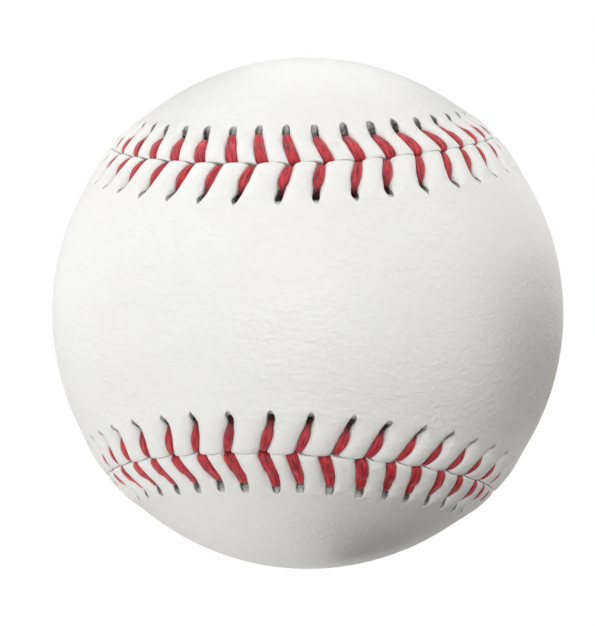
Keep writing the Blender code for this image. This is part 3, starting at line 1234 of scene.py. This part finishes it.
@dataclass(frozen=True)
class Softbox:
    """Square soft light that faces the ball."""

    name: str
    azimuth: float  # Degrees from the camera's side, positive to the right.
    elevation: float  # Degrees above the horizon.
    power: float  # Its power in watts.
    size: float = 0.35  # Length of its sides.
    distance: float = 0.6  # From the ball's centre to the light.

    def build(self) -> None:
        """Adds the light to the scene."""
        lamp = bpy.data.lights.new(self.name, "AREA")
        lamp.size = self.size
        lamp.energy = self.power
        stand = bpy.data.objects.new(self.name, lamp)
        bpy.context.scene.collection.objects.link(stand)
        place = sight_line(self.azimuth, self.elevation) * self.distance
        turn = (-place).to_track_quat("-Z", "Y")
        stand.matrix_world = Matrix.LocRotScale(place, turn, None)


SOFTBOXES = (
    Softbox("front_softbox", 0, 10, 1.74),
    Softbox("right_softbox", 65, 50, 0.95),
    Softbox("left_softbox", -65, 51, 1.1),
    Softbox("left_rim_softbox", -104, 13, 1.7, 0.7),
    Softbox("right_rim_softbox", 120, 0, 2.2, 0.75),
    Softbox("back_softbox", 180, -5, 2.9),
    Softbox("top_softbox", 180, 62, 0.6),
)


@dataclass
class Studio:
    """White floor, soft light and the camera of the picture."""

    radius: float  # Radius of the ball, which rests on the floor.
    # Place of the camera, in ball radii from the ball's centre.
    camera_place: Triple = (0.29965, -2.8508, -0.0474)
    roll: float = math.radians(0.329)  # How far the camera leans to its left, in radians.
    lens: float = 39.49  # Focal length for a sensor 36 mm on its long side.
    # Sideways and upward shift of the picture, as shares of its longer side.
    shift: Pair = (-0.0166, 0.0006)
    underlight: float = 0.27  # Glow of the floor under the ball.
    # From the ball's foot to where that glow starts to fade and ends.
    glow_reach: Pair = (0.008, 0.03)
    sweep: float = 1.03  # Brightness of the floor, as the camera sees it.
    sweep_share: float = 0.98  # How much of that covers the floor's own shading.
    around: Colour = (0.2, 0.198, 0.192)  # Colour of the light from all round.
    side_turn: Pair = (62.5, 17.5)  # Middle and half width of the side card, in degrees.
    side_rise: Pair = (-5.0, 17.0)  # Middle and half height of the side card, in degrees.
    side_gap: float = 0.012  # From the ball to the side card.
    under_size: Pair = (0.059, 0.0515)  # Width and depth of the under card.
    # Its middle, to the right, back from the ball's centre and up from the floor.
    under_place: Triple = (0.0355, -0.0443, 0.004)

    def build(self) -> None:
        """Sets up everything round the ball."""
        self.floor()
        self.world()
        for softbox in SOFTBOXES:
            softbox.build()
        self.flags()
        self.camera()

    def floor(self) -> None:
        """Adds the pale floor that the ball rests on, bright as an overexposed sweep."""
        bm = bmesh.new()
        bmesh.ops.create_circle(bm, cap_ends=True, segments=96, radius=3.0)
        bmesh.ops.translate(bm, verts=bm.verts, vec=(0, 0, -self.radius))
        floor = link_piece("studio_floor", bm)
        material, bench, shader = new_material("pale_floor")
        span = {0: bench.place(), 1: (0, 0, -self.radius)}
        away = bench.add("VectorMath", span, operation="DISTANCE").outputs["Value"]
        values = {
            "Base Color": (0.8, 0.8, 0.79, 1),
            "Roughness": 0.9,
            "Emission Color": WHITE,
            "Emission Strength": bench.remap(away, self.glow_reach, (self.underlight, 0.0)),
        }
        bench.feed(shader, values)
        sweep = bench.add("Emission", {"Color": WHITE, "Strength": self.sweep})
        seen = bench.add("LightPath", {}).outputs["Is Camera Ray"]
        share = bench.math("MULTIPLY", seen, self.sweep_share)
        both = bench.add("MixShader", {0: share, 1: shader.outputs[0], 2: sweep.outputs[0]})
        bench.feed(bench.tree.nodes["Material Output"], {"Surface": both.outputs[0]})
        floor.data.materials.append(material)

    def flags(self) -> None:
        """Adds the dark cards that keep light off the ball's right, out of the picture."""
        side = bmesh.new()
        bmesh.ops.create_grid(side, x_segments=10, y_segments=10, size=1)
        for corner in side.verts:
            azimuth = self.side_turn[0] + self.side_turn[1] * corner.co.x
            elevation = self.side_rise[0] + self.side_rise[1] * corner.co.y
            corner.co = sight_line(azimuth, elevation) * (self.radius + self.side_gap)
        under = bmesh.new()
        bmesh.ops.create_grid(under, x_segments=1, y_segments=1, size=0.5)
        bmesh.ops.scale(under, vec=(*self.under_size, 1), verts=under.verts)
        place = Vector(self.under_place) - Vector((0, 0, self.radius))
        bmesh.ops.translate(under, vec=place, verts=under.verts)
        self.card("side_card", side, (0.2, 0.175, 0.13))
        self.card("under_card", under, (0.05, 0.034, 0.008))

    def card(self, name: str, bm: Mesh, colour: Colour) -> None:
        """Adds one dull card that the camera doesn't see.

        Args:
            name: Name of the card and its material.
            bm: Its finished mesh.
            colour: Its colour.
        """
        card = link_piece(name, bm)
        material, bench, shader = new_material(name)
        bench.feed(shader, {"Base Color": (*colour, 1), "Roughness": 0.9})
        card.data.materials.append(material)
        card.visible_camera = False

    def world(self) -> None:
        """Lights the scene a little from all round, before a white ground."""
        world = bpy.data.worlds.new("studio")
        world.use_nodes = True
        bpy.context.scene.world = world
        bench = NodeBench(world.node_tree)
        around = bench.add("Background", {"Color": (*self.around, 1), "Strength": 1.0})
        ground = bench.add("Background", {"Color": WHITE, "Strength": 1.0})
        seen = bench.add("LightPath", {}).outputs["Is Camera Ray"]
        both = bench.add("MixShader", {0: seen, 1: around.outputs[0], 2: ground.outputs[0]})
        bench.feed(bench.tree.nodes["World Output"], {"Surface": both.outputs[0]})
        bpy.context.scene.view_settings.view_transform = "Standard"

    def camera(self) -> None:
        """Puts the camera where the picture was taken from."""
        data = bpy.data.cameras.new("camera")
        data.lens = self.lens
        data.shift_x, data.shift_y = self.shift
        data.clip_start = 0.01
        data.clip_end = 20
        camera = bpy.data.objects.new("camera", data)
        bpy.context.scene.collection.objects.link(camera)
        place = Vector(self.camera_place) * self.radius
        turn = (-place).to_track_quat("-Z", "Y").to_matrix()
        lean = Matrix.Rotation(self.roll, 3, "Z")
        camera.matrix_world = Matrix.Translation(place) @ (turn @ lean).to_4x4()
        bpy.context.scene.camera = camera


def cover_panels(seam: Seam) -> dict[Side, CoverPanel]:
    """Both panels, which differ a little in their holes and grooves.

    Args:
        seam: The seam between the panels.

    Returns:
        The panels, by their side.
    """
    front = CoverPanel(
        "front_panel_leather",
        "front_panel",
        seam,
        StitchRow(
            seam, Side.FRONT, phase=0.045, seed=11, lean=0.0011, seen_shifts=FRONT_SHIFTS
        ),
        LipForm(groove=0.00078, pinch=0.00118),
        HoleForm(
            seam_half=0.00038, groove_half=0.0005, slot_half=0.00036, start=0.00295, tip=0.0052
        ),
    )
    back = CoverPanel(
        "back_panel_leather",
        "back_panel",
        seam,
        StitchRow(
            seam,
            Side.BACK,
            phase=0.195,
            seed=23,
            lean=0.00125,
            seen_shifts=BACK_SHIFTS,
            seen_exits=BACK_EXITS,
        ),
        LipForm(),
        HoleForm(
            seam_half=0.0007,
            groove_half=0.00062,
            slot_half=0.00054,
            start=0.00345,
            far_shades=(0.42, 0.7),
            shade_power=0.45,
        ),
    )
    return {Side.FRONT: front, Side.BACK: back}


def main() -> None:
    """Builds the studio, the cover, the lacing and the core in order."""
    logging.basicConfig(level=logging.INFO, format="%(name)s: %(message)s")
    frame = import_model()
    seam = Seam()
    Studio(seam.radius).build()
    effects = SharedEffects()
    panels = cover_panels(seam)
    leather = LeatherFinish().material(effects)
    thread = ThreadFinish().material(effects, seam.stitches)
    for panel in panels.values():
        panel.dress(leather)
    for first, node in ((Side.FRONT, "first_lace"), (Side.BACK, "second_lace")):
        LaceStrand(f"{node}_thread", node, seam, panels, first).dress(thread)
    WoundCore(frame["nodes"]).dress(effects)


if __name__ == "__main__":
    main()
